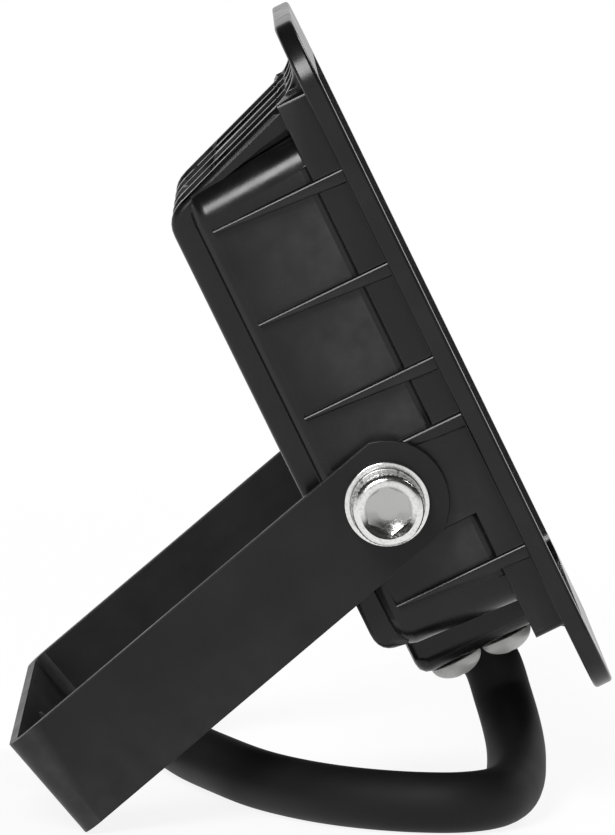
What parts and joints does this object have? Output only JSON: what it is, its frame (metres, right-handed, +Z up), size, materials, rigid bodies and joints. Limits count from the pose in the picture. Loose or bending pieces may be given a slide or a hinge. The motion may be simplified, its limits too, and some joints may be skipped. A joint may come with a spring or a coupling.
{
  "type": "LED flood light",
  "caption": "Slim finned die-cast LED flood light that tilts on a U-shaped strip bracket with socket head screws, with a thick rubber mains lead",
  "frame": {"origin": "centre of the bottom of the bounding box of the lamp without its free lead: on the floor, under the middle of head and bracket", "axes": "X is the tilt axis, from the near arm in the picture to the far one; the glass faces -Y and upwards; +Z up"},
  "size_m": [0.1837, 0.0854, 0.1148],
  "materials": {
    "black_enamel": "satin black enamel on die-cast aluminium",
    "black_paint": "satin black paint on steel strip",
    "glass_pane": "clear toughened glass",
    "seal_grey": "matt silicone",
    "screw_chrome": "polished",
    "spring_steel": "dull",
    "zinc": "zinc plated",
    "reflector_metal": "bright rolled sheet",
    "pad_grey": "matt",
    "plate_aluminium": "satin",
    "phosphor_yellow": "matt",
    "insulation_film": "matt",
    "board_green": "satin",
    "coil_tape": "satin",
    "can_black": "gloss sleeve",
    "coil_copper": "enamelled winding",
    "black_plastic": "matt",
    "grey_plastic": "matt",
    "rubber_black": "matt",
    "core_brown": "satin",
    "core_blue": "satin",
    "core_green": "satin",
    "wire_red": "satin",
    "wire_black": "satin",
    "ferrule_blue": "satin"
  },
  "bodies": {
    "bracket": {"bracket": "black_paint", "cable": "rubber_black", "core_live": "core_brown", "core_earth": "core_green", "core_neutral": "core_blue", "ferrule_live": "ferrule_blue", "ferrule_earth": "ferrule_blue", "ferrule_neutral": "ferrule_blue"},
    "head": {"housing": "black_enamel", "glass": "glass_pane", "glass_seal": "seal_grey", "reflector": "reflector_metal", "thermal_pad": "pad_grey", "led_plate": "plate_aluminium", "led_phosphor": "phosphor_yellow", "led_plate_screw_1": "zinc", "led_plate_screw_2": "zinc", "led_plate_screw_3": "zinc", "led_plate_screw_4": "zinc", "driver_insulation_sheet": "insulation_film", "driver_board": "board_green", "driver_board_screw_1": "zinc", "driver_board_screw_2": "zinc", "driver_transformer": "coil_tape", "driver_capacitor_mains": "can_black", "driver_capacitor_output": "can_black", "driver_choke": "coil_copper", "driver_rectifier": "black_plastic", "terminal_block": "grey_plastic", "terminal_screw_1": "zinc", "terminal_screw_2": "zinc", "earth_screw": "zinc", "earth_ring_tag": "zinc", "cable_bush": "rubber_black", "clamp_plate": "zinc", "clamp_screw_1": "zinc", "clamp_screw_2": "zinc", "clamp_screw_3": "zinc", "clamp_screw_4": "zinc", "cable_sheath_end": "rubber_black", "mains_wire_live": "core_brown", "mains_wire_neutral": "core_blue", "mains_wire_earth": "core_green", "led_wire_plus": "wire_red", "led_wire_minus": "wire_black", "pivot_screw_near": "screw_chrome", "spring_washer_near": "spring_steel", "flat_washer_near": "screw_chrome", "tooth_washer_near": "spring_steel", "pivot_screw_far": "screw_chrome", "spring_washer_far": "spring_steel", "flat_washer_far": "screw_chrome", "tooth_washer_far": "spring_steel"}
  },
  "joints": [
    {"name": "tilt", "type": "hinge", "parent": "bracket", "child": "head", "pos_m": [0, -0.01054, 0.04725], "axis": [1, 0, 0], "range_deg": [-100, 80], "deforming": ["cable"]}
  ]
}
